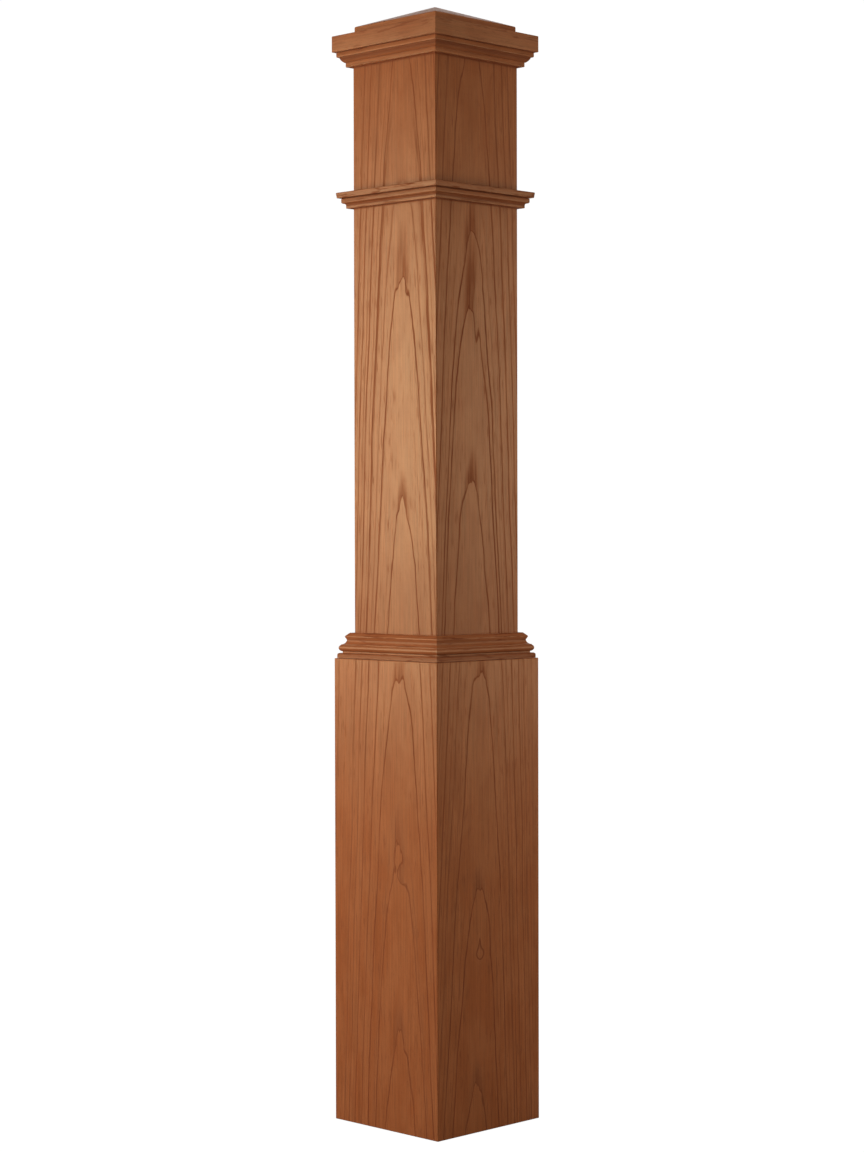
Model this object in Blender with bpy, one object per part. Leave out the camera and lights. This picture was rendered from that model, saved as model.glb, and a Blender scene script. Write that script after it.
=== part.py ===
# Box newel post of cherry: a hollow square column of mitred boards, a wider box of applied
# boards round its foot, three courses of mitred moulding and a two piece cap.
# Metres, +Z up. The origin is on the floor, on the post's centre line.
# The front face looks along -Y. Its neighbours are the right, back and left faces.

from math import acos, atan2, cos, degrees, hypot, radians, sin, sqrt, tan

import bmesh
import bpy
from mathutils import Matrix, Vector

# Assembly clearance between pieces that touch.
JOINT_GAP = 0.0003

# Column box.
COLUMN_SIDE = 0.127
COLUMN_BOARD_THICKNESS = 0.01905
COLUMN_HEIGHT = 1.1717
COLUMN_ARRIS_RADIUS = 0.0007

# Base box, applied round the column's foot.
BASE_BOARD_THICKNESS = 0.0156
BASE_BOARD_HEIGHT = 0.508
BASE_ARRIS_RADIUS = 0.0008

# Base moulding, on the base box. Projections are measured from the column's face.
BASE_FILLET_PROJECTION = 0.0137
BASE_FILLET_HEIGHT = 0.0055
BASE_FILLET_ROUND = 0.0022
BASE_TORUS_PROJECTION = 0.0126
BASE_TORUS_RADIUS = 0.0038
BASE_QUIRK_DEPTH = 0.0032
BASE_QUIRK_HEIGHT = 0.0017
BASE_TORUS_TOP_ANGLE = 58.0
BASE_ARRIS_STEP = 0.0006
BASE_COVE_PROJECTION = 0.0061
BASE_COVE_RADIUS = 0.0053
BASE_COVE_FOOT_ANGLE = 262.0
BASE_BEAD_RISE = 0.0033
BASE_BEAD_PROJECTION = 0.0077
BASE_BEAD_RADIUS = 0.0015
BASE_BEAD_FOOT_ANGLE = -29.0
BASE_BEAD_TOP_ANGLE = 47.0
BASE_LEDGE_PROJECTION = 0.0038

# Neck moulding, below the handrail's place on the column.
NECK_MOULDING_DROP = 0.1533
NECK_FILLET_PROJECTION = 0.0058
NECK_FILLET_HEIGHT = 0.0033
NECK_FILLET_ROUND = 0.0006
NECK_COVE_RADIUS = 0.002
NECK_BEAD_PROJECTION = 0.0096
NECK_BEAD_HEIGHT = 0.0052
NECK_BEAD_ROUND = 0.0018
NECK_QUIRK_PROJECTION = 0.008
NECK_QUIRK_HEIGHT = 0.0008
NECK_FASCIA_FOOT_PROJECTION = 0.0131
NECK_FASCIA_TOP_PROJECTION = 0.0137
NECK_FASCIA_HEIGHT = 0.0061
NECK_FASCIA_ROUND = 0.0006

# Cap moulding, in the corner between the column and the cap plate.
CAP_FILLET_PROJECTION = 0.0058
CAP_FILLET_HEIGHT = 0.005
CAP_FILLET_ROUND = 0.0007
CAP_OVOLO_FOOT_PROJECTION = 0.0067
CAP_OVOLO_TOP_PROJECTION = 0.0107
CAP_OVOLO_HEIGHT = 0.0051
CAP_OVOLO_BULGE = 0.00054
CAP_QUIRK_HEIGHT = 0.0005
CAP_BEAD_PROJECTION = 0.0131
CAP_BEAD_HEIGHT = 0.0054
CAP_BEAD_ROUND = 0.0011

# Cap plate and cap crown.
PLATE_OVERHANG = 0.0036
PLATE_THICKNESS = 0.0176
PLATE_ARRIS_RADIUS = 0.0009
CROWN_SETBACK = 0.01765
CROWN_THICKNESS = 0.03175
CROWN_RISER = 0.0098
CROWN_EAVE_RADIUS = 0.0012

# Degrees of an arc that one straight step stands for, and straight steps of a rounded edge.
ARC_STEP = 15.0
PLATE_ARRIS_STEPS = 2
CROWN_EAVE_STEPS = 3

# An edge that turns by more than this many degrees looks sharp.
SHARP_ANGLE = 40.0

# Points of a mesh that lie nearer than this are one point.
WELD_DISTANCE = 0.000001

SIDES = ("front", "right", "back", "left")
MITRE_CUT = JOINT_GAP / sqrt(2)

COLUMN_HALF = COLUMN_SIDE / 2
BASE_INNER_HALF = COLUMN_HALF + JOINT_GAP
BASE_OUTER_HALF = BASE_INNER_HALF + BASE_BOARD_THICKNESS
CAP_HEIGHT = COLUMN_HEIGHT + JOINT_GAP
PLATE_HALF = COLUMN_HALF + CAP_BEAD_PROJECTION + PLATE_OVERHANG
CROWN_HALF = PLATE_HALF - CROWN_SETBACK


def clear_scene():
    for old in list(bpy.data.objects):
        bpy.data.objects.remove(old, do_unlink=True)


def wood(name, colour, roughness):
    """A plain stained and lacquered wood."""
    material = bpy.data.materials.new(name)
    material.use_nodes = True
    shader = material.node_tree.nodes["Principled BSDF"]
    shader.inputs["Base Color"].default_value = (*colour, 1.0)
    shader.inputs["Roughness"].default_value = roughness
    shader.inputs["Metallic"].default_value = 0.0
    material.diffuse_color = (*colour, 1.0)
    return material


def arc(centre, radius, start, end):
    """Points of an arc in a section, from one angle in degrees to another."""
    steps = max(2, round(abs(end - start) / ARC_STEP))
    points = []
    for step in range(steps + 1):
        angle = radians(start + (end - start) * step / steps)
        points.append((centre[0] + radius * cos(angle), centre[1] + radius * sin(angle)))
    return points


def swelling(foot, head, bulge):
    """A convex curve from a section's lower point to a higher one further out, by how far it bulges."""
    run = head[0] - foot[0]
    rise = head[1] - foot[1]
    chord = hypot(run, rise)
    radius = chord**2 / (8 * bulge) + bulge / 2
    offset = (radius - bulge) / chord
    centre = ((foot[0] + head[0]) / 2 - rise * offset, (foot[1] + head[1]) / 2 + run * offset)
    start = degrees(atan2(foot[1] - centre[1], foot[0] - centre[0]))
    end = degrees(atan2(head[1] - centre[1], head[0] - centre[0]))
    return arc(centre, radius, start, end)


def base_section():
    """Section of the base moulding: a fillet, a torus, a cove and a bead below a flat ledge."""
    points = [(JOINT_GAP, 0.0), (BASE_FILLET_PROJECTION, 0.0)]
    fillet_centre = (BASE_FILLET_PROJECTION - BASE_FILLET_ROUND, BASE_FILLET_HEIGHT - BASE_FILLET_ROUND)
    points += arc(fillet_centre, BASE_FILLET_ROUND, 0, 90)
    points.append((BASE_TORUS_PROJECTION - BASE_QUIRK_DEPTH, BASE_FILLET_HEIGHT))

    torus_out = BASE_TORUS_PROJECTION - BASE_TORUS_RADIUS
    torus_foot = -degrees(acos(1 - BASE_QUIRK_DEPTH / BASE_TORUS_RADIUS))
    quirk_top = BASE_FILLET_HEIGHT + BASE_QUIRK_HEIGHT
    torus_up = quirk_top - BASE_TORUS_RADIUS * sin(radians(torus_foot))
    torus = arc((torus_out, torus_up), BASE_TORUS_RADIUS, torus_foot, BASE_TORUS_TOP_ANGLE)
    points += torus

    cove_foot = radians(BASE_COVE_FOOT_ANGLE)
    cove_out = BASE_COVE_PROJECTION + BASE_COVE_RADIUS
    cove_up = torus[-1][1] + BASE_ARRIS_STEP - BASE_COVE_RADIUS * sin(cove_foot)
    points += arc((cove_out, cove_up), BASE_COVE_RADIUS, BASE_COVE_FOOT_ANGLE, 180)

    bead_out = BASE_BEAD_PROJECTION - BASE_BEAD_RADIUS
    bead_up = cove_up + BASE_BEAD_RISE
    bead = arc((bead_out, bead_up), BASE_BEAD_RADIUS, BASE_BEAD_FOOT_ANGLE, BASE_BEAD_TOP_ANGLE)
    points += bead

    slope = bead[-1][0] - BASE_LEDGE_PROJECTION
    top = bead[-1][1] + slope / tan(radians(BASE_BEAD_TOP_ANGLE))
    points += [(BASE_LEDGE_PROJECTION, top), (JOINT_GAP, top)]
    return points


def neck_section():
    """Section of the neck moulding: a fillet, a small cove, a bead, a quirk and a fascia."""
    foot_centre = (NECK_FILLET_PROJECTION - NECK_FILLET_ROUND, NECK_FILLET_ROUND)
    points = [(JOINT_GAP, 0.0)]
    points += arc(foot_centre, NECK_FILLET_ROUND, -90, 0)

    cove_out = NECK_FILLET_PROJECTION + NECK_COVE_RADIUS
    points += arc((cove_out, NECK_FILLET_HEIGHT), NECK_COVE_RADIUS, 180, 90)

    bead_foot = NECK_FILLET_HEIGHT + NECK_COVE_RADIUS
    bead_top = bead_foot + NECK_BEAD_HEIGHT
    bead_round = min(NECK_BEAD_ROUND, NECK_BEAD_PROJECTION - cove_out)
    points += arc((NECK_BEAD_PROJECTION - bead_round, bead_foot + bead_round), bead_round, -90, 0)
    points += [(NECK_BEAD_PROJECTION, bead_top), (NECK_QUIRK_PROJECTION, bead_top)]

    fascia_foot = bead_top + NECK_QUIRK_HEIGHT
    fascia_top = fascia_foot + NECK_FASCIA_HEIGHT
    points.append((NECK_QUIRK_PROJECTION, fascia_foot))
    foot_centre = (NECK_FASCIA_FOOT_PROJECTION - NECK_FASCIA_ROUND, fascia_foot + NECK_FASCIA_ROUND)
    top_centre = (NECK_FASCIA_TOP_PROJECTION - NECK_FASCIA_ROUND, fascia_top - NECK_FASCIA_ROUND)
    points += arc(foot_centre, NECK_FASCIA_ROUND, -90, 0)
    points += arc(top_centre, NECK_FASCIA_ROUND, 0, 90)
    points.append((JOINT_GAP, fascia_top))
    return points


def cap_section():
    """Section of the cap moulding: a fillet, an ovolo, a quirk and a bead under the plate."""
    foot_centre = (CAP_FILLET_PROJECTION - CAP_FILLET_ROUND, CAP_FILLET_ROUND)
    points = [(JOINT_GAP, 0.0)]
    points += arc(foot_centre, CAP_FILLET_ROUND, -90, 0)
    points.append((CAP_FILLET_PROJECTION, CAP_FILLET_HEIGHT))

    ovolo_foot = (CAP_OVOLO_FOOT_PROJECTION, CAP_FILLET_HEIGHT)
    ovolo_top = (CAP_OVOLO_TOP_PROJECTION, CAP_FILLET_HEIGHT + CAP_OVOLO_HEIGHT)
    points += swelling(ovolo_foot, ovolo_top, CAP_OVOLO_BULGE)

    bead_foot = ovolo_top[1] + CAP_QUIRK_HEIGHT
    points.append((CAP_OVOLO_TOP_PROJECTION, bead_foot))
    bead_centre = (CAP_BEAD_PROJECTION - CAP_BEAD_ROUND, bead_foot + CAP_BEAD_ROUND)
    points += arc(bead_centre, CAP_BEAD_ROUND, -90, 0)
    bead_top = bead_foot + CAP_BEAD_HEIGHT
    points += [(CAP_BEAD_PROJECTION, bead_top), (JOINT_GAP, bead_top)]
    return points


def height_of(section):
    return max(up for _, up in section)


def finish(name, shape, material, smooth=False):
    """Turns a bmesh into a mesh with its material."""
    bmesh.ops.remove_doubles(shape, verts=shape.verts, dist=WELD_DISTANCE)
    bmesh.ops.recalc_face_normals(shape, faces=shape.faces)
    mesh = bpy.data.meshes.new(name)
    shape.to_mesh(mesh)
    shape.free()
    if smooth:
        mesh.shade_smooth()
        mesh.set_sharp_from_angle(angle=radians(SHARP_ANGLE))
    mesh.materials.append(material)
    return mesh


def board_mesh(name, outer_half, thickness, height, arris_radius, material):
    """A board whose long edges are mitred, standing on its end, with its face towards -Y."""
    outer = outer_half - MITRE_CUT
    inner = outer - thickness
    centre = (outer_half - arris_radius, arris_radius - outer_half)
    rounded = arc(centre, arris_radius, -90, -45)
    corner = [(x, y) for x, y in rounded if x < -y - MITRE_CUT]
    mitre_out = corner[-1][1]
    corner.append((-mitre_out - MITRE_CUT, mitre_out))
    plan = [(-inner, thickness - outer_half), (-corner[-1][0], corner[-1][1])]
    plan += [(-x, y) for x, y in reversed(corner[:-1])]
    plan += corner
    plan.append((inner, thickness - outer_half))

    shape = bmesh.new()
    foot = shape.faces.new([shape.verts.new((x, y, 0.0)) for x, y in plan])
    grown = bmesh.ops.extrude_face_region(shape, geom=[foot])
    risen = [item for item in grown["geom"] if isinstance(item, bmesh.types.BMVert)]
    bmesh.ops.translate(shape, verts=risen, vec=Vector((0, 0, height)))
    return finish(name, shape, material)


def moulding_mesh(name, section, material):
    """A length of moulding with both ends mitred, its back towards the column's front face."""
    shape = bmesh.new()
    ring = []
    for out, up in section:
        distance = COLUMN_HALF + out
        ring.append(shape.verts.new((MITRE_CUT - distance, -distance, up)))
    end = shape.faces.new(ring)
    grown = bmesh.ops.extrude_face_region(shape, geom=[end])
    for item in grown["geom"]:
        if isinstance(item, bmesh.types.BMVert):
            item.co.x = -item.co.x
    return finish(name, shape, material, smooth=True)


def round_edges(shape, edges, radius, steps):
    """Rounds edges to a quarter circle."""
    bmesh.ops.bevel(shape, geom=edges, offset=radius, segments=steps, profile=0.5, affect="EDGES")


def block(shape, half, height):
    """A square block on the plane z = 0, centred on the axis."""
    made = bmesh.ops.create_cube(shape, size=1.0)
    size = Matrix.Diagonal((2 * half, 2 * half, height, 1.0))
    bmesh.ops.transform(shape, matrix=Matrix.Translation((0, 0, height / 2)) @ size, verts=made["verts"])


def plate_mesh(name, material):
    shape = bmesh.new()
    block(shape, PLATE_HALF, PLATE_THICKNESS)
    round_edges(shape, shape.edges[:], PLATE_ARRIS_RADIUS, PLATE_ARRIS_STEPS)
    return finish(name, shape, material, smooth=True)


def crown_mesh(name, material):
    """A square block with a low pyramid on top."""
    shape = bmesh.new()
    block(shape, CROWN_HALF, CROWN_RISER)
    top = max(shape.faces, key=lambda face: face.calc_center_median().z)
    eaves = list(top.edges)
    poked = bmesh.ops.poke(shape, faces=[top])
    poked["verts"][0].co.z = CROWN_THICKNESS
    round_edges(shape, eaves, CROWN_EAVE_RADIUS, CROWN_EAVE_STEPS)
    return finish(name, shape, material, smooth=True)


def place(name, mesh, parent, foot, side=0):
    """One piece, turned by quarter turns from the front and set at its height."""
    piece = bpy.data.objects.new(name, mesh)
    bpy.context.scene.collection.objects.link(piece)
    piece.parent = parent
    piece.location = (0, 0, foot)
    piece.rotation_euler = (0, 0, radians(90) * side)
    return piece


def course(prefix, mesh, parent, foot):
    """The four like pieces that go round the post at one height."""
    for side, word in enumerate(SIDES):
        place(f"{prefix}_{word}", mesh, parent, foot, side)


def build():
    clear_scene()
    post = bpy.data.objects.new("box_newel_post", None)
    bpy.context.scene.collection.objects.link(post)

    column_wood = wood("cherry_column", (0.42, 0.19, 0.09), 0.42)
    column = board_mesh(
        "column_board", COLUMN_HALF, COLUMN_BOARD_THICKNESS, COLUMN_HEIGHT, COLUMN_ARRIS_RADIUS, column_wood
    )
    course("column_board", column, post, 0.0)

    base_wood = wood("cherry_base", (0.36, 0.15, 0.065), 0.42)
    base = board_mesh(
        "base_board", BASE_OUTER_HALF, BASE_BOARD_THICKNESS, BASE_BOARD_HEIGHT, BASE_ARRIS_RADIUS, base_wood
    )
    course("base_board", base, post, 0.0)

    base_trim_wood = wood("cherry_base_moulding", (0.38, 0.155, 0.07), 0.4)
    base_trim = moulding_mesh("base_moulding", base_section(), base_trim_wood)
    course("base_moulding", base_trim, post, BASE_BOARD_HEIGHT + JOINT_GAP)

    neck_trim_wood = wood("cherry_neck_moulding", (0.4, 0.175, 0.085), 0.4)
    neck_trim = moulding_mesh("neck_moulding", neck_section(), neck_trim_wood)
    neck_foot = CAP_HEIGHT - NECK_MOULDING_DROP - height_of(neck_section())
    course("neck_moulding", neck_trim, post, neck_foot)

    cap_trim_wood = wood("cherry_cap_moulding", (0.34, 0.135, 0.06), 0.4)
    cap_trim = moulding_mesh("cap_moulding", cap_section(), cap_trim_wood)
    course("cap_moulding", cap_trim, post, CAP_HEIGHT - JOINT_GAP - height_of(cap_section()))

    plate_wood = wood("cherry_cap_plate", (0.35, 0.14, 0.06), 0.38)
    place("cap_plate", plate_mesh("cap_plate", plate_wood), post, CAP_HEIGHT)
    crown_wood = wood("cherry_cap_crown", (0.36, 0.145, 0.065), 0.38)
    crown_foot = CAP_HEIGHT + PLATE_THICKNESS + JOINT_GAP
    place("cap_crown", crown_mesh("cap_crown", crown_wood), post, crown_foot)


build()
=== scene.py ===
import bpy, bmesh
from math import acos, atan2, cos, degrees, hypot, pi, radians, sin, tan
from mathutils import Matrix, Vector


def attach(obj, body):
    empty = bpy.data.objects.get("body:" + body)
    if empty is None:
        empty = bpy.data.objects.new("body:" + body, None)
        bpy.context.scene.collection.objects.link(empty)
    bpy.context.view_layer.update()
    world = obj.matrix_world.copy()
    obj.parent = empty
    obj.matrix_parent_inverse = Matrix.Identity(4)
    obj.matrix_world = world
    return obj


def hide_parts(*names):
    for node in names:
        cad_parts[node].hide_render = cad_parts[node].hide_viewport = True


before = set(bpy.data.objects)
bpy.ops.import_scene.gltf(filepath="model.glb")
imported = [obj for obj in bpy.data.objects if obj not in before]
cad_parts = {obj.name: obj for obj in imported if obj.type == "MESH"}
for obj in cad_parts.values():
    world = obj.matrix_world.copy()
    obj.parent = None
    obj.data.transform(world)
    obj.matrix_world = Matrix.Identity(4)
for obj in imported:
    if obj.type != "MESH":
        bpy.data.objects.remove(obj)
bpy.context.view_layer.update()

# Box newel post in stained cherry, in metres. The front face looks along -Y, the right face
# along +X, and the camera stands off the corner between them. A piece that comes four times is
# built for the front and turned by quarter turns.

sideNames = ["front", "right", "back", "left"]


# Camera and studio

cameraSpec = {
    "distance": 2.8353,      # level, from the lens to the post's centre line
    "height": 0.6429,        # lens above the floor
    "yaw": 45.13,            # degrees round from the right face toward the front
    "postRight": 0.0047,     # how far right of the picture's middle the post stands
    "pitch": -0.905,
    "roll": -0.13,
    "focal": 80.59,          # in millimetres, like the sensor
    "sensor": 36.0,          # along the picture's tall side
    "clip": (0.05, 60.0),
}

# A wash lights the colour of the wood and a sheen shows in its satin finish, so each can be
# set without the other.

studioSpec = {
    "lights": {
        "leftWash": {"kind": "wash", "place": (-0.62, -1.04, 0.77), "aimHeight": 0.76,
                     "size": (0.50, 0.88), "power": 10.6},
        "leftSheen": {"kind": "sheen", "place": (-0.80, -0.95, 0.78), "aimHeight": 0.76,
                      "size": (0.50, 0.76), "power": 6.2},
        "rightWash": {"kind": "wash", "place": (0.68, 0.80, 0.74), "aimHeight": 0.73,
                      "size": (0.36, 0.64), "power": 3.6},
        "rightSheen": {"kind": "sheen", "place": (0.98, 1.02, 0.74), "aimHeight": 0.72,
                       "size": (0.50, 0.85), "power": 2.15},
        "backWash": {"kind": "wash", "place": (-1.20, 1.20, 0.90), "aimHeight": 0.80,
                     "size": (1.20, 1.40), "power": 14.0},
        "topWash": {"kind": "wash", "place": (-0.20, -0.20, 2.60), "aimHeight": 1.00,
                    "size": (1.00, 1.00), "power": 3.0},
        "backSheen": {"kind": "sheen", "place": (-1.60, 1.60, 1.85), "aimHeight": 1.20,
                      "size": (1.80, 0.80), "power": 4.8},
    },
    "ambient": 0.30,         # even light on the post from all round
    "backdrop": 1.02,        # what the camera sees behind the post, 1 is white
    "floorSide": 7.0,
    "floorDrop": 0.0002,     # below the foot, so that the two faces never share a plane
    "floorColour": (0.40, 0.40, 0.40, 1),
    "floorRoughness": 0.9,
    "floorGlow": 0.88,       # share of plain white light in what the camera sees of the floor
    "floorLight": 1.14,      # how bright that light is
}


def makeCamera(spec):
    yaw = radians(-spec["yaw"])
    away = Vector((cos(yaw), sin(yaw), 0))
    rightward = Vector((-sin(yaw), cos(yaw), 0))
    data = bpy.data.cameras.new("productCamera")
    data.sensor_fit = "VERTICAL"
    data.sensor_height = spec["sensor"]
    data.lens = spec["focal"]
    data.clip_start, data.clip_end = spec["clip"]
    camera = bpy.data.objects.new("productCamera", data)
    bpy.context.scene.collection.objects.link(camera)
    place = away * spec["distance"] - rightward * spec["postRight"]
    camera.location = (place.x, place.y, spec["height"])
    look = Matrix.Rotation(yaw + pi / 2, 4, "Z") @ Matrix.Rotation(radians(90 + spec["pitch"]), 4, "X")
    look = look @ Matrix.Rotation(radians(spec["roll"]), 4, "Z")
    camera.rotation_euler = look.to_euler()
    bpy.context.scene.camera = camera


def softbox(name, spec):
    data = bpy.data.lights.new(name, "AREA")
    data.shape = "RECTANGLE"
    data.size, data.size_y = spec["size"]
    data.energy = spec["power"]
    lamp = bpy.data.objects.new(name, data)
    bpy.context.scene.collection.objects.link(lamp)
    lamp.location = spec["place"]
    toPost = Vector((0, 0, spec["aimHeight"])) - Vector(spec["place"])
    lamp.rotation_euler = toPost.to_track_quat("-Z", "Y").to_euler()
    lamp.visible_camera = False
    lamp.visible_glossy = spec["kind"] == "sheen"
    lamp.visible_diffuse = spec["kind"] == "wash"


# Node helpers

nodeStep = 190               # from node to node in the editor
nodesPerColumn = 6


class Graph:
    # short calls for the nodes that the groups and materials are drawn from

    def __init__(self, tree):
        self.tree = tree
        self.count = 0

    def node(self, kind, **values):
        made = self.tree.nodes.new(kind)
        column, row = divmod(self.count, nodesPerColumn)
        made.location = (column * nodeStep, -row * nodeStep)
        self.count += 1
        for key, value in values.items():
            setattr(made, key, value)
        return made

    def put(self, socket, value):
        if isinstance(value, bpy.types.NodeSocket):
            self.tree.links.new(value, socket)
        elif value is not None:
            socket.default_value = value

    def fill(self, made, values):
        for key, value in values.items():
            self.put(made.inputs[key], value)

    def calc(self, operation, first, second=None, third=None, clamp=False):
        made = self.node("ShaderNodeMath", operation=operation, use_clamp=clamp)
        for socket, value in zip(made.inputs, (first, second, third)):
            self.put(socket, value)
        return made.outputs[0]

    def noise(self, place, seed, stretch, detail=2.0, rough=0.5, distortion=0.0):
        # stretch is the noise's scale across the grain, into it and along it, for each metre
        across, into, along = place
        vector = self.join(self.calc("MULTIPLY", across, stretch[0]), self.calc("MULTIPLY", into, stretch[1]),
                           self.calc("MULTIPLY_ADD", along, stretch[2], seed))
        made = self.node("ShaderNodeTexNoise")
        self.fill(made, {"Vector": vector, "Scale": 1.0, "Detail": detail, "Roughness": rough,
                         "Distortion": distortion})
        return made.outputs["Fac"]

    def lineNoise(self, value, scale, detail=2.0):
        made = self.node("ShaderNodeTexNoise", noise_dimensions="1D")
        self.fill(made, {"W": value, "Scale": scale, "Detail": detail, "Roughness": 0.5})
        return made.outputs["Fac"]

    def ramp(self, value, low, high, start=0.0, end=1.0):
        # eases from start, where the value is low, to end, where it is high
        made = self.node("ShaderNodeMapRange", interpolation_type="SMOOTHSTEP")
        self.fill(made, {"Value": value, "From Min": low, "From Max": high, "To Min": start, "To Max": end})
        return made.outputs["Result"]

    def join(self, x, y, z):
        made = self.node("ShaderNodeCombineXYZ")
        self.fill(made, {"X": x, "Y": y, "Z": z})
        return made.outputs[0]

    def split(self, vector):
        made = self.node("ShaderNodeSeparateXYZ")
        self.put(made.inputs[0], vector)
        return made.outputs

    def blend(self, factor, first, second):
        made = self.node("ShaderNodeMix", data_type="RGBA")
        for index, value in ((0, factor), (6, first), (7, second)):      # the sockets that colours use
            self.put(made.inputs[index], value)
        return made.outputs[2]


floatSocket = "NodeSocketFloat"
vectorSocket = "NodeSocketVector"


def startGroup(name, inputs, outputs):
    tree = bpy.data.node_groups.new(name, "ShaderNodeTree")
    for label, kind, value in inputs:
        socket = tree.interface.new_socket(label, in_out="INPUT", socket_type=kind)
        if value is not None:
            socket.default_value = value
    for label in outputs:
        tree.interface.new_socket(label, in_out="OUTPUT", socket_type=floatSocket)
    graph = Graph(tree)
    return graph, graph.node("NodeGroupInput").outputs, graph.node("NodeGroupOutput").inputs


def useGroup(graph, group, **values):
    made = graph.node("ShaderNodeGroup", node_tree=group)
    graph.fill(made, values)
    return made.outputs


# Growth rings as flat sawing shows them. Across and into the board is the plan of the tree, and
# up is the trunk, which narrows as it rises, so the rings run out at the face as tall arches.
# reach tells one ring from the next, and steep is how fast it changes over the face. A range
# is where a ramp starts and ends, then its values there where they aren't 0 and 1.

ringLook = {
    "sway": {"stretch": (22.0, 14.0, 7.0), "detail": 1.0},
    "swaySize": 4.0,                         # in wavers, as is shiverSize
    "shiver": {"stretch": (120.0, 60.0, 38.0)},
    "shiverSize": 1.0,
    "unevenScale": 0.6,                      # how the gap changes from ring to ring
    "unevenSize": 1.6,
    "lineStart": (0.0, 0.0004),              # distance over the face in which a dark edge begins
    "lineEnd": (0.0006, 0.0017, 1.0, 0.0),
    "lineBySteep": (0.10, 0.24, 0.07, 1.0),  # faint where the rings run flat to the face
    "lineByChance": (0.1, 1.0, 0.15, 1.0),   # some rings are darker than others
    "patch": {"stretch": (90.0, 1.0, 26.0)},
    "lineByPatch": (0.32, 0.62, 0.35, 1.0),  # and each ring comes and goes
    "toneScale": 0.5,                        # paler and deeper rings
}


def makeRingGroup(look):
    graph, given, out = startGroup("cherryRings", [
        ("grain", vectorSocket, None),           # across the board, into it, and along the grain
        ("heart", floatSocket, 0.0),             # where the arches are centred, across, at the foot
        ("lean", floatSocket, 0.0),              # how far that moves across for each metre up
        ("depth", floatSocket, 0.10),            # from the face to the middle of the tree
        ("taper", floatSocket, 0.0235),          # how much the trunk narrows for each metre up
        ("gap", floatSocket, 0.00265),           # from ring to ring
        ("waver", floatSocket, 0.0006),          # how far a ring strays
        ("swirl", floatSocket, 0.0),             # reach and steepness that burrs add
        ("slope", floatSocket, 0.0),
        ("seed", floatSocket, 0.0),
    ], ["reach", "steep", "lateWood", "tone"])
    place = graph.split(given["grain"])
    x, y, z = place
    seed, taper, waver = given["seed"], given["taper"], given["waver"]
    across = graph.calc("SUBTRACT", x, graph.calc("MULTIPLY_ADD", z, given["lean"], given["heart"]))
    into = graph.calc("ADD", y, given["depth"])
    radius = graph.calc("SQRT", graph.calc("MULTIPLY_ADD", across, across, graph.calc("MULTIPLY", into, into)))
    cone = graph.calc("MULTIPLY_ADD", z, taper, graph.calc("SUBTRACT", radius, given["depth"]))
    slow = graph.calc("SUBTRACT", graph.noise(place, seed, **look["sway"]), 0.5)
    quick = graph.calc("SUBTRACT", graph.noise(place, seed, **look["shiver"]), 0.5)
    sway = graph.calc("MULTIPLY", slow, graph.calc("MULTIPLY", waver, look["swaySize"]))
    shiver = graph.calc("MULTIPLY", quick, graph.calc("MULTIPLY", waver, look["shiverSize"]))
    reach = graph.calc("ADD", graph.calc("ADD", cone, given["swirl"]), graph.calc("ADD", sway, shiver))

    side = graph.calc("DIVIDE", across, radius)
    plain = graph.calc("MULTIPLY_ADD", side, side, graph.calc("MULTIPLY", taper, taper))
    steep = graph.calc("SQRT", graph.calc("MULTIPLY_ADD", given["slope"], given["slope"], plain))

    ring = graph.calc("DIVIDE", reach, given["gap"])
    own = graph.calc("ADD", ring, seed)
    uneven = graph.lineNoise(own, look["unevenScale"], 1.0)
    ringPlace = graph.calc("MULTIPLY_ADD", uneven, look["unevenSize"], ring)
    beyond = graph.calc("MULTIPLY", graph.calc("FRACT", ringPlace), given["gap"])
    away = graph.calc("DIVIDE", beyond, steep)
    line = graph.calc("MULTIPLY", graph.ramp(away, *look["lineStart"]), graph.ramp(away, *look["lineEnd"]))
    line = graph.calc("MULTIPLY", line, graph.ramp(steep, *look["lineBySteep"]))
    chance = graph.node("ShaderNodeTexWhiteNoise", noise_dimensions="1D")
    graph.put(chance.inputs["W"], graph.calc("ADD", graph.calc("FLOOR", ringPlace), seed))
    patchy = graph.noise(place, seed, **look["patch"])
    strength = graph.calc("MULTIPLY", graph.ramp(chance.outputs["Value"], *look["lineByChance"]),
                          graph.ramp(patchy, *look["lineByPatch"]))
    graph.put(out["reach"], reach)
    graph.put(out["steep"], steep)
    graph.put(out["lateWood"], graph.calc("MULTIPLY", line, strength))
    graph.put(out["tone"], graph.lineNoise(own, look["toneScale"]))
    return graph.tree


# One strong dark ring, by the height at which its arch closes. Inside the arch the line is
# crisp. Outside it fades, and over the top of the arch it runs up into a streaky flame.

archLook = {
    "width": 0.0018,                         # of the line, over the face
    "crisp": 0.2,                            # share of the width before it starts to fade outwards
    "inward": -0.45,                         # share of the width in which it comes in from inside
    "patch": {"stretch": (30.0, 1.0, 14.0)},
    "lineByPatch": (0.30, 0.60, 0.62, 1.0),
    "flameBySteep": (0.05, 0.13, 1.0, 0.05),     # over the top and not beside the legs
    "flameFoot": -0.0015,                    # where the flame starts, from the top of the arch
    "streak": {"stretch": (330.0, 1.0, 15.0), "detail": 3.0, "rough": 0.6},
    "flameByStreak": (0.36, 0.62, 0.30, 1.0),
    "seedByHeight": 10.0,                    # so that each arch is worn in places of its own
}


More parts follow.
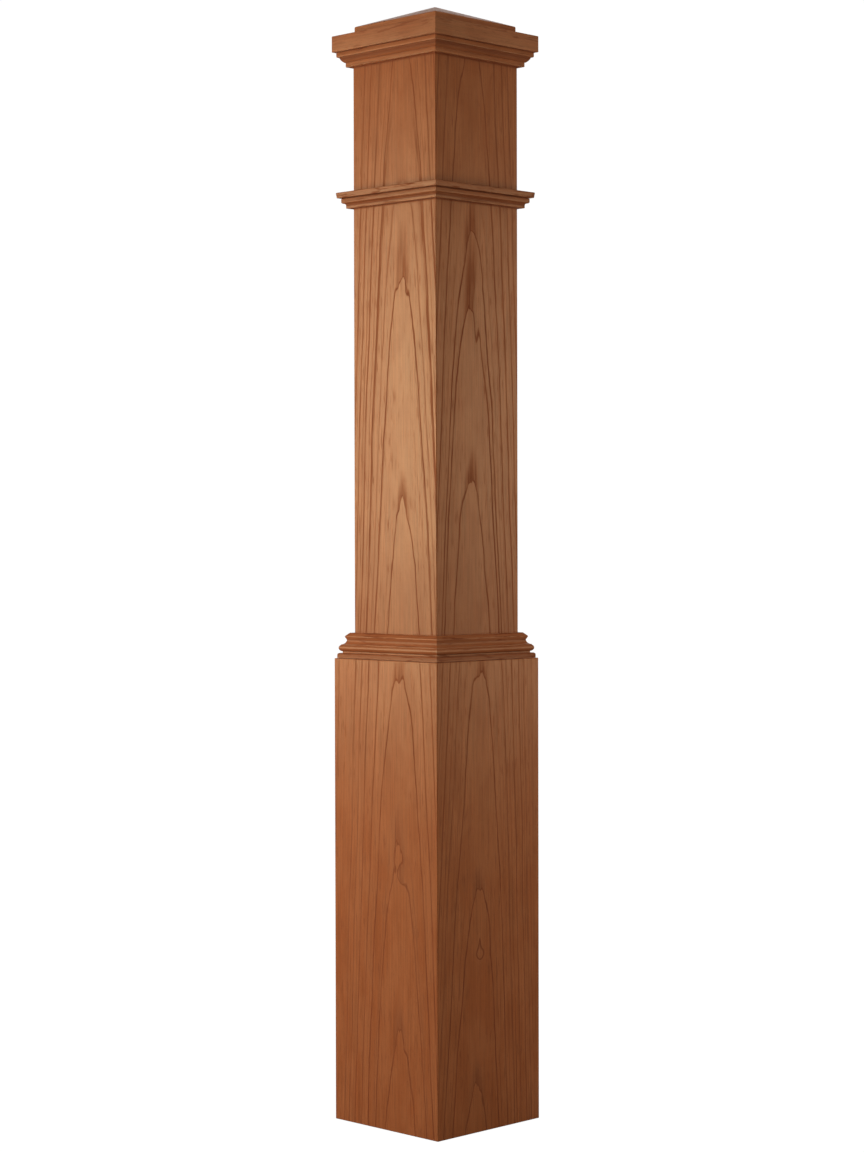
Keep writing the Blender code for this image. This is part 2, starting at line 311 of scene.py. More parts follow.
def makeArchGroup(look):
    graph, given, out = startGroup("darkRing", [
        ("grain", vectorSocket, None),
        ("reach", floatSocket, 0.0),
        ("steep", floatSocket, 0.1),
        ("taper", floatSocket, 0.0235),
        ("apex", floatSocket, 0.5),
        ("width", floatSocket, look["width"]),
        ("flameTall", floatSocket, 0.035),
        ("seed", floatSocket, 0.0),
    ], ["line", "flame"])
    place = graph.split(given["grain"])
    seed, taper, width = given["seed"], given["taper"], given["width"]
    beyond = graph.calc("SUBTRACT", given["reach"], graph.calc("MULTIPLY", given["apex"], taper))
    away = graph.calc("DIVIDE", beyond, given["steep"])
    outer = graph.ramp(away, graph.calc("MULTIPLY", width, look["crisp"]), width, 1.0, 0.0)
    inner = graph.ramp(away, graph.calc("MULTIPLY", width, look["inward"]), 0.0)
    worn = graph.ramp(graph.noise(place, seed, **look["patch"]), *look["lineByPatch"])
    graph.put(out["line"], graph.calc("MULTIPLY", graph.calc("MULTIPLY", outer, inner), worn))

    flameTop = graph.calc("MULTIPLY", given["flameTall"], taper)
    fade = graph.calc("MULTIPLY", graph.ramp(given["steep"], *look["flameBySteep"]),
                      graph.ramp(beyond, 0.0, flameTop, 1.0, 0.0))
    begin = graph.ramp(beyond, graph.calc("MULTIPLY", taper, look["flameFoot"]), 0.0)
    streaky = graph.ramp(graph.noise(place, seed, **look["streak"]), *look["flameByStreak"])
    graph.put(out["flame"], graph.calc("MULTIPLY", graph.calc("MULTIPLY", begin, fade), streaky))
    return graph.tree


# A burr lifts or sinks the rings round one point, for an eye, a notch or a drip in the grain.

burrSteepness = 1.6          # of the burr's flank, for its lift over its width


def makeBurrGroup():
    graph, given, out = startGroup("burr", [
        ("grain", vectorSocket, None),
        ("across", floatSocket, 0.0),
        ("height", floatSocket, 0.5),
        ("wide", floatSocket, 0.006),
        ("tall", floatSocket, 0.015),
        ("lift", floatSocket, 0.0005),
    ], ["swirl", "slope"])
    x, y, z = graph.split(given["grain"])
    sideways = graph.calc("DIVIDE", graph.calc("SUBTRACT", x, given["across"]), given["wide"])
    upright = graph.calc("DIVIDE", graph.calc("SUBTRACT", z, given["height"]), given["tall"])
    far = graph.calc("MULTIPLY_ADD", sideways, sideways, graph.calc("MULTIPLY", upright, upright))
    swirl = graph.calc("MULTIPLY", graph.calc("EXPONENT", graph.calc("MULTIPLY", far, -1.0)), given["lift"])
    slope = graph.calc("DIVIDE", graph.calc("MULTIPLY", graph.calc("SQRT", far), swirl), given["wide"])
    graph.put(out["swirl"], swirl)
    graph.put(out["slope"], graph.calc("MULTIPLY", slope, burrSteepness))
    return graph.tree


# Pores, fibres, short dark strokes of sap, and the soft unevenness that stain leaves.

poreLook = {
    "pore": {"stretch": (2600, 2600, 230), "detail": 1.0},
    "poreRange": (0.60, 0.74),
    "fibre": {"stretch": (560, 560, 10), "detail": 3.0, "rough": 0.62},
    "stroke": {"stretch": (430, 430, 42), "detail": 2.0, "rough": 0.55},
    "strokeRange": (0.54, 0.70),
    "mottle": {"stretch": (38, 38, 16), "detail": 3.0, "rough": 0.55, "distortion": 0.4},
}


def makePoreGroup(look):
    graph, given, out = startGroup("cherryPores", [
        ("grain", vectorSocket, None),
        ("seed", floatSocket, 0.0),
    ], ["pore", "fibre", "stroke", "mottle"])
    place, seed = graph.split(given["grain"]), given["seed"]
    graph.put(out["pore"], graph.ramp(graph.noise(place, seed, **look["pore"]), *look["poreRange"]))
    graph.put(out["fibre"], graph.noise(place, seed, **look["fibre"]))
    graph.put(out["stroke"], graph.ramp(graph.noise(place, seed, **look["stroke"]), *look["strokeRange"]))
    graph.put(out["mottle"], graph.noise(place, seed, **look["mottle"]))
    return graph.tree


# Painted shade where a part meets a neighbour or sinks into a recess, with some stain and finish gathered
# there: a dark band that fades away from it.

stainAndShadeTail = -0.5            # share of the width by which the dark also runs over the edge


def makeStainAndShadeGroup():
    graph, given, out = startGroup("gatheredStainAndPaintedShade", [
        ("height", floatSocket, 0.0),
        ("edge", floatSocket, 0.0),
        ("width", floatSocket, 0.002),           # below the edge where it is less than 0
    ], ["dark"])
    away = graph.calc("DIVIDE", graph.calc("SUBTRACT", given["height"], given["edge"]), given["width"])
    near = graph.ramp(away, 0.0, 1.0, 1.0, 0.0)
    graph.put(out["dark"], graph.calc("MULTIPLY", near, graph.ramp(away, stainAndShadeTail, 0.0)))
    return graph.tree


ringGroup = makeRingGroup(ringLook)
archGroup = makeArchGroup(archLook)
burrGroup = makeBurrGroup()
poreGroup = makePoreGroup(poreLook)
stainAndShadeGroup = makeStainAndShadeGroup()
print("grain groups drawn")


# Stained cherry with a satin finish

cherrySpec = {
    "pale": (0.468, 0.140, 0.045, 1),        # wood between the rings, under the stain
    "deep": (0.410, 0.108, 0.031, 1),        # broad darker passages
    "late": (0.205, 0.030, 0.006, 1),        # the dark edge of a ring
    "pore": (0.140, 0.030, 0.010, 1),
    "toneRange": (0.34, 0.68),               # from the pale wood to the deep
    "mottleShare": 0.72,                     # of the tone, and the rings give the rest
    "lineDark": 1.40,                        # how far a strong dark ring goes to the late colour
    "flameDark": 1.0,
    "strokeBySteep": (0.05, 0.22, 0.16, 0.36),
    "darkest": 0.92,                         # as far as any line goes to the late colour
    "fibreShade": (0.25, 0.75, 0.86, 1.14),
    "poreDark": 0.30,
    "shine": 0.5,
    "glossTint": (1.0, 0.95, 0.46, 1),
    "roughness": 0.33,
    "fibreRough": 0.10,
    "poreRough": 0.12,
    "mattRough": 0.38,                       # how much rougher the darkest lines are
    "mattLine": 1.9,                         # how soon a dark line turns matt
    "mattGather": 1.35,                      # and how soon a band of painted shade and gathered stain does
    "bumpDepth": 0.00005,
    "bumpStrength": 0.6,
    "fibreHeight": 0.5,                      # next to the depth of a pore
}


def stained(lightness, **changes):
    # the same cherry, from a board that took the stain lighter or darker, or, for the crown, made lighter as
    # painted light
    wood = dict(cherrySpec, **changes)
    for key in ("pale", "deep", "late", "pore"):
        red, green, blue, alpha = wood[key]
        wood[key] = (red * lightness, green * lightness, blue * lightness, alpha)
    return wood


blockShift = 3.0             # parts the grain of a block's right and left sides from its front and back


def layGrain(graph, spec, place):
    # across the board, into it from its face, and along the grain
    x, y, z = place
    if spec["run"] == "upright":
        return graph.join(x, graph.calc("ADD", y, spec["face"]), z)
    if spec["run"] == "level":
        return graph.join(z, graph.calc("ADD", y, spec["face"]), x)
    # a block: level round its four sides, and one way across its top
    sideways = graph.calc("GREATER_THAN", graph.calc("ABSOLUTE", x), graph.calc("ABSOLUTE", y))
    along = graph.calc("ADD", graph.calc("MULTIPLY", sideways, graph.calc("ADD", y, blockShift)),
                       graph.calc("MULTIPLY", graph.calc("SUBTRACT", 1.0, sideways), x))
    outward = graph.calc("MAXIMUM", graph.calc("ABSOLUTE", x), graph.calc("ABSOLUTE", y))
    sides = graph.join(z, graph.calc("MULTIPLY", outward, -1.0), along)
    top = graph.join(y, graph.calc("SUBTRACT", z, spec["sideTop"]), x)
    return graph.blend(graph.calc("LESS_THAN", z, spec["sideTop"]), top, sides)


def boardMaterial(name, spec, wood):
    material = bpy.data.materials.new(name)
    material.use_nodes = True
    graph = Graph(material.node_tree)
    shader = material.node_tree.nodes["Principled BSDF"]
    place = graph.split(graph.node("ShaderNodeTexCoord").outputs["Object"])
    grain = layGrain(graph, spec, place)
    seed = spec["seed"]

    swirl, slope = 0.0, 0.0
    for across, height, wide, tall, lift in spec.get("burrs", []):
        burr = useGroup(graph, burrGroup, grain=grain, across=across, height=height, wide=wide, tall=tall,
                        lift=lift)
        swirl = graph.calc("ADD", burr["swirl"], swirl)
        slope = graph.calc("ADD", burr["slope"], slope)
    rings = useGroup(graph, ringGroup, grain=grain, heart=spec["heart"], lean=spec.get("lean", 0.0),
                     depth=spec["depth"], taper=spec["taper"], gap=spec["gap"], waver=spec["waver"],
                     swirl=swirl, slope=slope, seed=seed)
    pores = useGroup(graph, poreGroup, grain=grain, seed=seed)

    ringTone = graph.calc("MULTIPLY", rings["tone"], 1 - wood["mottleShare"])
    tone = graph.calc("MULTIPLY_ADD", pores["mottle"], wood["mottleShare"], ringTone)
    colour = graph.blend(graph.ramp(tone, *wood["toneRange"]), wood["pale"], wood["deep"])
    late = graph.calc("MULTIPLY", rings["lateWood"], spec["ringStrength"])
    for apex, strength, flameTall in spec.get("arches", []):
        arch = useGroup(graph, archGroup, grain=grain, reach=rings["reach"], steep=rings["steep"],
                        taper=spec["taper"], apex=apex, flameTall=flameTall,
                        seed=apex * archLook["seedByHeight"] + seed)
        line = graph.calc("MULTIPLY", arch["line"], strength * wood["lineDark"])
        flame = graph.calc("MULTIPLY", arch["flame"], strength * wood["flameDark"])
        late = graph.calc("MAXIMUM", graph.calc("MAXIMUM", late, line), flame)
    stroke = graph.calc("MULTIPLY", pores["stroke"], graph.ramp(rings["steep"], *wood["strokeBySteep"]))
    stroke = graph.calc("MULTIPLY", stroke, spec["strokes"])
    late = graph.calc("MINIMUM", graph.calc("MAXIMUM", late, stroke), wood["darkest"])
    colour = graph.blend(late, colour, wood["late"])
    shade = graph.node("ShaderNodeVectorMath", operation="SCALE")
    graph.put(shade.inputs[0], colour)
    graph.put(shade.inputs["Scale"], graph.ramp(pores["fibre"], *wood["fibreShade"]))
    pitted = graph.calc("MULTIPLY", pores["pore"], wood["poreDark"])
    colour = graph.blend(pitted, shade.outputs[0], wood["pore"])

    # dark lines, and the bands of painted shade and gathered stain, have less of the satin sheen
    matt = graph.calc("MULTIPLY", late, wood["mattLine"], clamp=True)
    for edge, width, strength in spec.get("stainAndShadeBands", []):
        dark = useGroup(graph, stainAndShadeGroup, height=place[2], edge=edge, width=width)["dark"]
        # painted shade: each band darkens the colour toward the late colour
        colour = graph.blend(graph.calc("MULTIPLY", dark, strength), colour, wood["late"])
        matting = graph.calc("MULTIPLY", dark, min(1.0, strength * wood["mattGather"]))
        matt = graph.calc("MAXIMUM", matt, matting)
    gloss = graph.calc("MULTIPLY_ADD", pores["fibre"], wood["fibreRough"],
                       wood["roughness"] - wood["fibreRough"] / 2)
    gloss = graph.calc("MULTIPLY_ADD", matt, wood["mattRough"], gloss)
    gloss = graph.calc("MULTIPLY_ADD", pores["pore"], wood["poreRough"], gloss)

    bump = graph.node("ShaderNodeBump")
    bump.inputs["Distance"].default_value = wood["bumpDepth"]
    bump.inputs["Strength"].default_value = wood["bumpStrength"]
    fibres = graph.calc("MULTIPLY", pores["fibre"], wood["fibreHeight"])
    graph.put(bump.inputs["Height"], graph.calc("MULTIPLY_ADD", pores["pore"], -1.0, fibres))
    shader.inputs["Specular IOR Level"].default_value = wood["shine"]
    shader.inputs["Specular Tint"].default_value = wood["glossTint"]
    graph.put(shader.inputs["Base Color"], colour)
    graph.put(shader.inputs["Roughness"], gloss)
    graph.put(shader.inputs["Normal"], bump.outputs["Normal"])
    return material


# Mesh helpers

closeMitre = 0.00002         # half the gap left in a glued mitre
weldDistance = 0.000001


def arcPoints(centre, radius, start, end, stepDegrees=5):
    steps = max(2, round(abs(end - start) / stepDegrees))
    turn = [radians(start + (end - start) * step / steps) for step in range(steps + 1)]
    return [(centre[0] + radius * cos(angle), centre[1] + radius * sin(angle)) for angle in turn]


def swellPoints(foot, head, bulge):
    # a convex curve up and out from foot to head
    run, rise = head[0] - foot[0], head[1] - foot[1]
    chord = hypot(run, rise)
    radius = chord ** 2 / (8 * bulge) + bulge / 2
    offset = (radius - bulge) / chord
    centre = ((foot[0] + head[0]) / 2 - rise * offset, (foot[1] + head[1]) / 2 + run * offset)
    start = degrees(atan2(foot[1] - centre[1], foot[0] - centre[0]))
    end = degrees(atan2(head[1] - centre[1], head[0] - centre[0]))
    return arcPoints(centre, radius, start, end)


def solidFromRings(name, rings, material, apex=None, sharpDegrees=35):
    # rings of equal length, closed by a face at the first and by a face or an apex at the last
    shape = bmesh.new()
    laid = [[shape.verts.new(point) for point in ring] for ring in rings]
    count = len(laid[0])
    for low, high in zip(laid, laid[1:]):
        for index in range(count):
            after = (index + 1) % count
            shape.faces.new((low[index], low[after], high[after], high[index]))
    shape.faces.new(laid[0])
    if apex is None:
        shape.faces.new(laid[-1])
    else:
        tip = shape.verts.new(apex)
        for index in range(count):
            shape.faces.new((laid[-1][index], laid[-1][(index + 1) % count], tip))
    bmesh.ops.remove_doubles(shape, verts=shape.verts, dist=weldDistance)
    bmesh.ops.recalc_face_normals(shape, faces=shape.faces)
    mesh = bpy.data.meshes.new(name)
    shape.to_mesh(mesh)
    shape.free()
    mesh.shade_smooth()
    mesh.set_sharp_from_angle(angle=radians(sharpDegrees))
    mesh.materials.append(material)
    return mesh


def placePiece(name, mesh, foot, side, nodes):
    piece = bpy.data.objects.new(name, mesh)
    bpy.context.scene.collection.objects.link(piece)
    piece.location = (0, 0, foot)
    piece.rotation_euler = (0, 0, radians(90) * side)
    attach(piece, "root")
    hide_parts(*nodes)


# Boards: the column is the narrow box, from the floor to the cap, and the base the wide one
# round its foot. An arch is the height of its top, its strength and how tall its flame is. A
# burr is its place across, its height, its width, how tall it is and its lift. A band of painted
# shade and gathered stain is the height of its edge, its width and its strength.

columnSpec = {
    "side": 0.127,
    "thickness": 0.01905,
    "height": 1.1717,
    "arris": 0.0007,
    # painted shade: the first band darkens the column for some way above the base moulding, where the light
    # falls off, and the others darken it under the neck and cap mouldings
    "stainAndShadeBands": [(0.5357, 0.16, 0.16), (1.0013, -0.0024, 0.65), (1.1557, -0.0030, 0.75)],
    "boards": {
        "front": {
            "heart": 0.0125, "seed": 3.1,
            "arches": [(0.665, 0.60, 0.05), (0.926, 0.55, 0.09), (1.030, 0.25, 0.03), (1.190, 0.50, 0.03),
                       (1.400, 0.45, 0.03), (1.610, 0.40, 0.03), (1.790, 0.40, 0.03)],
            "burrs": [(0.0185, 0.904, 0.0035, 0.009, 0.00035)],
        },
        "right": {
            "heart": -0.0100, "seed": 7.7,
            "arches": [(0.702, 0.65, 0.05), (0.900, 0.66, 0.09), (0.968, 0.66, 0.08), (1.190, 0.55, 0.03),
                       (1.400, 0.45, 0.03), (1.620, 0.40, 0.03), (1.800, 0.40, 0.03)],
            "burrs": [(-0.0020, 0.872, 0.0028, 0.024, 0.0011)],
        },
        "back": {
            "heart": 0.006, "seed": 12.4,
            "arches": [(0.650, 0.55, 0.04), (0.790, 0.35, 0.03), (1.000, 0.60, 0.05), (1.260, 0.55, 0.03),
                       (1.480, 0.50, 0.03), (1.690, 0.45, 0.03)],
        },
        "left": {
            "heart": -0.014, "seed": 19.9,
            "arches": [(0.720, 0.60, 0.04), (0.880, 0.55, 0.06), (1.100, 0.60, 0.03), (1.350, 0.50, 0.03),
                       (1.560, 0.45, 0.03), (1.750, 0.45, 0.03)],
        },
    },
}

baseSpec = {
    "side": 0.1588,
    "thickness": 0.0156,
    "height": 0.508,
    "arris": 0.0008,
    # painted shade: a contact shadow along the top edge of the base, under the base moulding
    "stainAndShadeBands": [(0.508, -0.0014, 0.3)],
    "boards": {
        "front": {
            "heart": 0.0221, "seed": 23.3,
            "arches": [(0.1120, 0.55, 0.04), (0.312, 0.50, 0.04), (0.5085, 0.60, 0.03), (0.705, 0.50, 0.03),
                       (0.940, 0.45, 0.03), (1.160, 0.40, 0.03), (1.380, 0.40, 0.03)],
            "burrs": [(0.0215, 0.4955, 0.0045, 0.030, 0.00030), (0.0250, 0.276, 0.0090, 0.014, 0.00060)],
        },
        "right": {
            "heart": -0.0206, "lean": 0.018, "seed": 29.1,
            "arches": [(0.052, 0.55, 0.04), (0.262, 0.60, 0.04), (0.4900, 0.60, 0.03), (0.720, 0.45, 0.03),
                       (0.950, 0.45, 0.03), (1.170, 0.40, 0.03)],
            "burrs": [(-0.0150, 0.1920, 0.0080, 0.0105, 0.0026), (-0.0148, 0.2080, 0.0025, 0.0120, 0.0013),
                      (-0.0190, 0.5005, 0.0060, 0.0110, 0.00050)],
        },
        "back": {
            "heart": -0.012, "seed": 37.0,
            "arches": [(0.215, 0.60, 0.04), (0.430, 0.60, 0.03), (0.640, 0.55, 0.03), (0.850, 0.50, 0.03),
                       (1.060, 0.45, 0.03)],
        },
        "left": {
            "heart": 0.016, "seed": 41.6,
            "arches": [(0.160, 0.55, 0.03), (0.350, 0.60, 0.04), (0.560, 0.55, 0.03), (0.780, 0.50, 0.03),
                       (1.010, 0.45, 0.03)],
        },
    },
}

boardGrain = {"run": "upright", "depth": 0.10, "taper": 0.0235, "gap": 0.00265, "waver": 0.0006,
              "ringStrength": 0.53, "strokes": 1.0}

boardEase = 0.0004           # taken off the edges of a board's two ends


def boardRings(spec):
    # plan of a mitred board whose face looks along -Y, repeated up its height
    outerHalf, thickness, height, arris = spec["side"] / 2, spec["thickness"], spec["height"], spec["arris"]
    corner = arcPoints((outerHalf - arris, arris - outerHalf), arris, -90, -45, stepDegrees=9)
    corner = [(x - closeMitre, y) for x, y in corner]
    innerHalf = outerHalf - thickness - closeMitre
    plan = [(-innerHalf, thickness - outerHalf)] + [(-x, y) for x, y in reversed(corner)] + corner
    plan.append((innerHalf, thickness - outerHalf))
    middle = thickness / 2 - outerHalf
    rings = []
    for z, inset in ((0.0, boardEase), (boardEase, 0.0), (height - boardEase, 0.0), (height, boardEase)):
        rings.append([(x, y + inset if y < middle else y - inset, z) for x, y in plan])
    return rings


def makeBoards(stem, nodeStem, spec, wood):
    rings = boardRings(spec)
    for side, word in enumerate(sideNames):
        name = stem + word.capitalize()
        grain = dict(boardGrain, face=spec["side"] / 2, stainAndShadeBands=spec["stainAndShadeBands"], **spec["boards"][word])
        mesh = solidFromRings(name, rings, boardMaterial(name, grain, wood))
        placePiece(name, mesh, 0.0, side, [nodeStem + word])


makeBoards("columnBoard", "column_board_", columnSpec, stained(0.95))
makeBoards("baseBoard", "base_board_", baseSpec, cherrySpec)
print("boards made")


# Mouldings. Sections run from the column's face outwards and up, and foot is the height that
# a moulding stands at.

baseMouldingSpec = {
    "fillet": (0.0137, 0.0055, 0.0022),      # projection, height, rounding
    "torus": (0.0126, 0.0038, 58),           # projection, radius, top angle
    "quirk": (0.0032, 0.0017),               # depth behind the torus, height
    "cove": (0.0061, 0.0053, 262),           # projection, radius, foot angle
    "arrisStep": 0.0006,                     # from the torus up to the cove
    "bead": (0.0077, 0.0015, 0.0033, -29, 47),   # projection, radius, rise, foot and top angles
    "ledge": 0.0038,                         # projection of the flat on top
    "foot": 0.5083,
    "heart": 0.012,
    "seed": 51.0,
    # painted shade: down into the quirk above the fillet, at the top of the cove under the bead, and over the
    # top of the torus
    "stainAndShadeBands": [(0.0040, -0.0060, 0.35), (0.0199, -0.0035, 0.32), (0.0130, -0.0020, 0.20)],
}

neckMouldingSpec = {
    "fillet": (0.0058, 0.0033, 0.0006),      # projection, height, rounding
    "cove": 0.0020,                          # radius
    "bead": (0.0096, 0.0052, 0.0018),        # projection, height, rounding
    "beadTop": 0.0004,                       # rounding
    "quirk": (0.0080, 0.0008),               # projection, height
    "fascia": (0.0131, 0.0137, 0.0061, 0.0006),  # projection at foot and top, height, rounding
    "foot": 1.0013,
    "heart": 0.004,
    "seed": 83.0,
    # painted shade: in the cove above the fillet and in the quirk above the bead
    "stainAndShadeBands": [(0.0034, 0.0024, 0.6), (0.0104, 0.0016, 0.5)],
}

capMouldingSpec = {
    "fillet": (0.0058, 0.0050, 0.0007),      # projection, height, rounding
    "ovolo": (0.0067, 0.0107, 0.0051, 0.00054),  # projection at foot and top, height, bulge
    "quirk": 0.0005,                         # height
    "bead": (0.0131, 0.0054, 0.0011),        # projection, height, rounding
    "beadTop": 0.0003,                       # rounding
    "foot": 1.1557,
    "heart": 0.007,
    "seed": 117.0,
    # painted shade: on the ovolo under the bead, where the ovolo leaves the fillet, and along the top of the
    # bead under the plate
    "stainAndShadeBands": [(0.0093, -0.0048, 0.80), (0.0050, 0.0012, 0.2), (0.0160, -0.0014, 0.5)],
}

backGap = 0.00005            # behind each moulding, where it is glued to the column


def baseSection(spec):
    filletOut, filletUp, filletRound = spec["fillet"]
    torusOut, torusRadius, torusTop = spec["torus"]
    quirkDepth, quirkUp = spec["quirk"]
    coveOut, coveRadius, coveFoot = spec["cove"]
    beadOut, beadRadius, beadRise, beadFoot, beadTop = spec["bead"]
    points = [(backGap, 0.0), (filletOut, 0.0)]
    points += arcPoints((filletOut - filletRound, filletUp - filletRound), filletRound, 0, 90)
    points.append((torusOut - quirkDepth, filletUp))
    torusFoot = -degrees(acos(1 - quirkDepth / torusRadius))
    torusUp = filletUp + quirkUp - torusRadius * sin(radians(torusFoot))
    torus = arcPoints((torusOut - torusRadius, torusUp), torusRadius, torusFoot, torusTop)
    coveUp = torus[-1][1] + spec["arrisStep"] - coveRadius * sin(radians(coveFoot))
    points += torus + arcPoints((coveOut + coveRadius, coveUp), coveRadius, coveFoot, 180)
    bead = arcPoints((beadOut - beadRadius, coveUp + beadRise), beadRadius, beadFoot, beadTop)
    top = bead[-1][1] + (bead[-1][0] - spec["ledge"]) / tan(radians(beadTop))
    return points + bead + [(spec["ledge"], top), (backGap, top)]


def neckSection(spec):
    filletOut, filletUp, filletRound = spec["fillet"]
    beadOut, beadHigh, beadRound = spec["bead"]
    topRound = spec["beadTop"]
    quirkOut, quirkHigh = spec["quirk"]
    fasciaFoot, fasciaTop, fasciaHigh, fasciaRound = spec["fascia"]
    points = [(backGap, 0.0)]
    points += arcPoints((filletOut - filletRound, filletRound), filletRound, -90, 0, stepDegrees=15)
    points += arcPoints((filletOut + spec["cove"], filletUp), spec["cove"], 180, 90)
    foot = filletUp + spec["cove"]
    points += arcPoints((beadOut - beadRound, foot + beadRound), beadRound, -90, 0)
    foot += beadHigh
    points += arcPoints((beadOut - topRound, foot - topRound), topRound, 0, 90, stepDegrees=15)
    points += [(quirkOut, foot), (quirkOut, foot + quirkHigh)]
    foot += quirkHigh
    points += arcPoints((fasciaFoot - fasciaRound, foot + fasciaRound), fasciaRound, -90, 0, stepDegrees=10)
    foot += fasciaHigh
    points += arcPoints((fasciaTop - fasciaRound, foot - fasciaRound), fasciaRound, 0, 90, stepDegrees=10)
    points.append((backGap, foot))
    return points


def capSection(spec):
    filletOut, filletUp, filletRound = spec["fillet"]
    ovoloFoot, ovoloTop, ovoloHigh, ovoloBulge = spec["ovolo"]
    beadOut, beadHigh, beadRound = spec["bead"]
    topRound = spec["beadTop"]
    points = [(backGap, 0.0)]
    points += arcPoints((filletOut - filletRound, filletRound), filletRound, -90, 0, stepDegrees=15)
    points.append((filletOut, filletUp))
    foot = filletUp + ovoloHigh
    points += swellPoints((ovoloFoot, filletUp), (ovoloTop, foot), ovoloBulge)
    foot += spec["quirk"]
    points.append((ovoloTop, foot))
    points += arcPoints((beadOut - beadRound, foot + beadRound), beadRound, -90, 0, stepDegrees=10)
    foot += beadHigh
    points += arcPoints((beadOut - topRound, foot - topRound), topRound, 0, 90, stepDegrees=15)
    points.append((backGap, foot))
    return points


def mouldingRings(columnHalf, section):
    # the section at the mitre at each end
    rings = []
    for hand in (-1, 1):
        rings.append([(hand * (columnHalf + out - closeMitre), -(columnHalf + out), up) for out, up in section])
    return rings


mouldingGrain = {"run": "level", "depth": 0.060, "taper": 0.018, "gap": 0.0016, "waver": 0.0009,
                 "ringStrength": 0.60, "strokes": 2.0}

mouldingArches = {
    "places": (0.055, 0.024, -0.011, -0.043),    # along the front length
    "shift": -0.009,                         # from each length to the next one round
    "strength": 0.50,
    "flameTall": 0.02,
}

seedShift = 5.3              # so that no two lengths have the same grain


def makeMouldings(stem, nodeStem, spec, section, wood):
    columnHalf = columnSpec["side"] / 2
    rings = mouldingRings(columnHalf, section)
    for side, word in enumerate(sideNames):
        name = stem + word.capitalize()
        arches = [(place + mouldingArches["shift"] * side, mouldingArches["strength"],
                   mouldingArches["flameTall"]) for place in mouldingArches["places"]]
        grain = dict(mouldingGrain, face=columnHalf, heart=spec["heart"], seed=spec["seed"] + seedShift * side,
                     arches=arches, stainAndShadeBands=spec["stainAndShadeBands"])
        mesh = solidFromRings(name, rings, boardMaterial(name, grain, wood))
        placePiece(name, mesh, spec["foot"], side, [nodeStem + word])


makeMouldings("baseMoulding", "base_moulding_", baseMouldingSpec, baseSection(baseMouldingSpec),
              stained(0.88, shine=0.42))
makeMouldings("neckMoulding", "neck_moulding_", neckMouldingSpec, neckSection(neckMouldingSpec),
              stained(0.80, shine=0.36))
makeMouldings("capMoulding", "cap_moulding_", capMouldingSpec, capSection(capMouldingSpec),
              stained(0.91))
print("mouldings made")


# Cap: a square plate, and a smaller block with a low pyramid on top

plateSpec = {
    "half": 0.0802,
    "thickness": 0.0176,
    "arris": 0.0005,
    "foot": 1.1720,
    "seed": 140.0,
    "wood": stained(1.06, pale=(0.455, 0.165, 0.064, 1), deep=(0.385, 0.120, 0.044, 1)),
}

crownSpec = {
    "half": 0.06255,
    "thickness": 0.03175,    # from its foot to the point of the pyramid
    "riser": 0.0098,         # height of the upright sides
    "eave": 0.0017,          # rounding between the sides and the pyramid
    "arris": 0.0006,
    "ease": 0.0004,          # taken off the edge that sits on the plate
    "foot": 1.1899,
    "seed": 151.0,
    # painted light: the crown's wood is made lighter to make up for the shade that the plate casts on its riser
    "wood": stained(1.27, pale=(0.455, 0.158, 0.058, 1), deep=(0.385, 0.115, 0.040, 1)),
}

capGrain = {"run": "block", "depth": 0.11, "taper": 0.012, "gap": 0.0026, "waver": 0.0005, "heart": 0.006,
            "ringStrength": 0.55, "strokes": 1.4}

topEdge = 0.0004             # how far below its upper edge the grain of a block's sides ends
cornerShare = 0.5            # the corners' rounding shrinks by this share of what a ring is set in
leastCorner = 0.0001


def roundedSquare(half, arris, z, cornerSteps=4):
    points = []
    for turn, (across, back) in enumerate([(1, -1), (1, 1), (-1, 1), (-1, -1)]):
        start = -90 + 90 * turn
        centre = (across * (half - arris), back * (half - arris))
        points += [(x, y, z) for x, y in arcPoints(centre, arris, start, start + 90, 90 / cornerSteps)]
    return points


def plateRings(spec):
    half, thick, arris = spec["half"], spec["thickness"], spec["arris"]
    edge = arcPoints((-arris, arris), arris, -90, 0, stepDegrees=15)
    edge += arcPoints((-arris, thick - arris), arris, 0, 90, stepDegrees=15)
    return [roundedSquare(half + out, arris + out * cornerShare, up) for out, up in edge]


def crownRings(spec):
    half, arris, riser, eave, ease = (spec[key] for key in ("half", "arris", "riser", "eave", "ease"))
    slope = degrees(atan2(spec["thickness"] - riser, half))
    rings = [roundedSquare(half - ease, arris * cornerShare, 0.0), roundedSquare(half, arris, ease)]
    # the rounded eave meets the riser and the slope without a break
    lift = riser - eave * tan(radians((90 - slope) / 2))
    for out, up in arcPoints((-eave, lift), eave, 0, 90 - slope, stepDegrees=8):
        rings.append(roundedSquare(half + out, max(arris + out * cornerShare, leastCorner), up))
    return rings


def capMaterial(name, spec, sideHeight):
    grain = dict(capGrain, seed=spec["seed"], sideTop=sideHeight - topEdge)
    return boardMaterial(name, grain, spec["wood"])


plateMesh = solidFromRings("capPlate", plateRings(plateSpec),
                           capMaterial("capPlate", plateSpec, plateSpec["thickness"]))
placePiece("capPlate", plateMesh, plateSpec["foot"], 0, ["cap_plate"])
crownMesh = solidFromRings("capCrown", crownRings(crownSpec),
                           capMaterial("capCrown", crownSpec, crownSpec["riser"]),
                           apex=(0, 0, crownSpec["thickness"]), sharpDegrees=12)
placePiece("capCrown", crownMesh, crownSpec["foot"], 0, ["cap_crown"])
print("cap made")


# Floor, lights and world

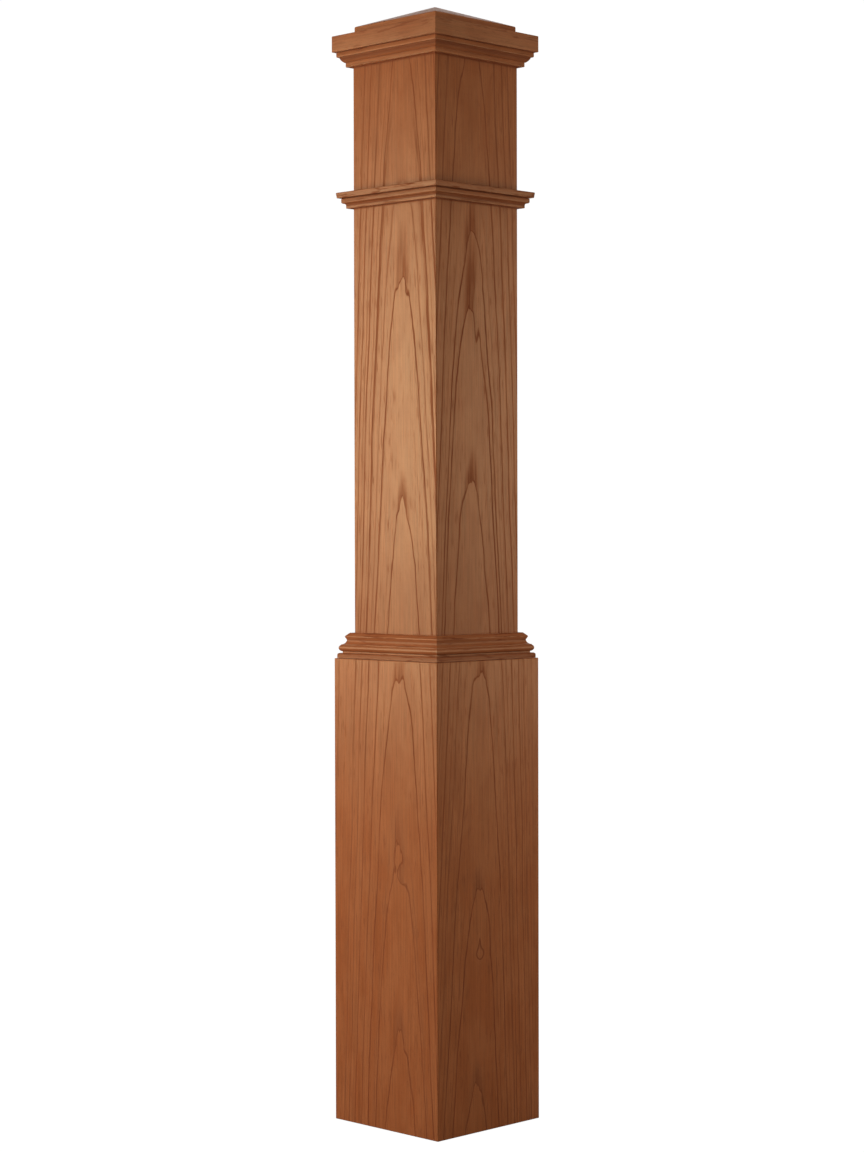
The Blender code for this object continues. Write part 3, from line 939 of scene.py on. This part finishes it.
def makeFloor(spec):
    mesh = bpy.data.meshes.new("studioFloor")
    half = spec["floorSide"] / 2
    corners = [(-half, -half, 0), (half, -half, 0), (half, half, 0), (-half, half, 0)]
    mesh.from_pydata(corners, [], [(0, 1, 2, 3)])
    floor = bpy.data.objects.new("studioFloor", mesh)
    bpy.context.scene.collection.objects.link(floor)
    floor.location.z = -spec["floorDrop"]
    material = bpy.data.materials.new("paleFloor")
    material.use_nodes = True
    graph = Graph(material.node_tree)
    shader = material.node_tree.nodes["Principled BSDF"]
    shader.inputs["Base Color"].default_value = spec["floorColour"]
    shader.inputs["Roughness"].default_value = spec["floorRoughness"]
    light = graph.node("ShaderNodeEmission")
    light.inputs["Color"].default_value = (1, 1, 1, 1)
    light.inputs["Strength"].default_value = spec["floorLight"]
    mixed = graph.node("ShaderNodeMixShader")
    seen = graph.node("ShaderNodeLightPath").outputs["Is Camera Ray"]
    graph.put(mixed.inputs["Fac"], graph.calc("MULTIPLY", seen, spec["floorGlow"]))
    graph.put(mixed.inputs[1], shader.outputs["BSDF"])
    graph.put(mixed.inputs[2], light.outputs["Emission"])
    graph.put(material.node_tree.nodes["Material Output"].inputs["Surface"], mixed.outputs["Shader"])
    mesh.materials.append(material)
    floor.visible_glossy = False


def makeWorld(spec):
    # white behind the post for the camera, dimmer for the light that falls on it
    world = bpy.data.worlds.new("studioWorld")
    world.use_nodes = True
    graph = Graph(world.node_tree)
    background = world.node_tree.nodes["Background"]
    background.inputs["Color"].default_value = (1, 1, 1, 1)
    seen = graph.node("ShaderNodeLightPath").outputs["Is Camera Ray"]
    graph.put(background.inputs["Strength"], graph.ramp(seen, 0.0, 1.0, spec["ambient"], spec["backdrop"]))
    world.cycles_visibility.glossy = False
    bpy.context.scene.world = world


makeCamera(cameraSpec)
for lightName, lightSpec in studioSpec["lights"].items():
    softbox(lightName, lightSpec)
makeFloor(studioSpec)
makeWorld(studioSpec)
bpy.context.scene.view_settings.view_transform = "Standard"
print("camera, floor and lights in place")
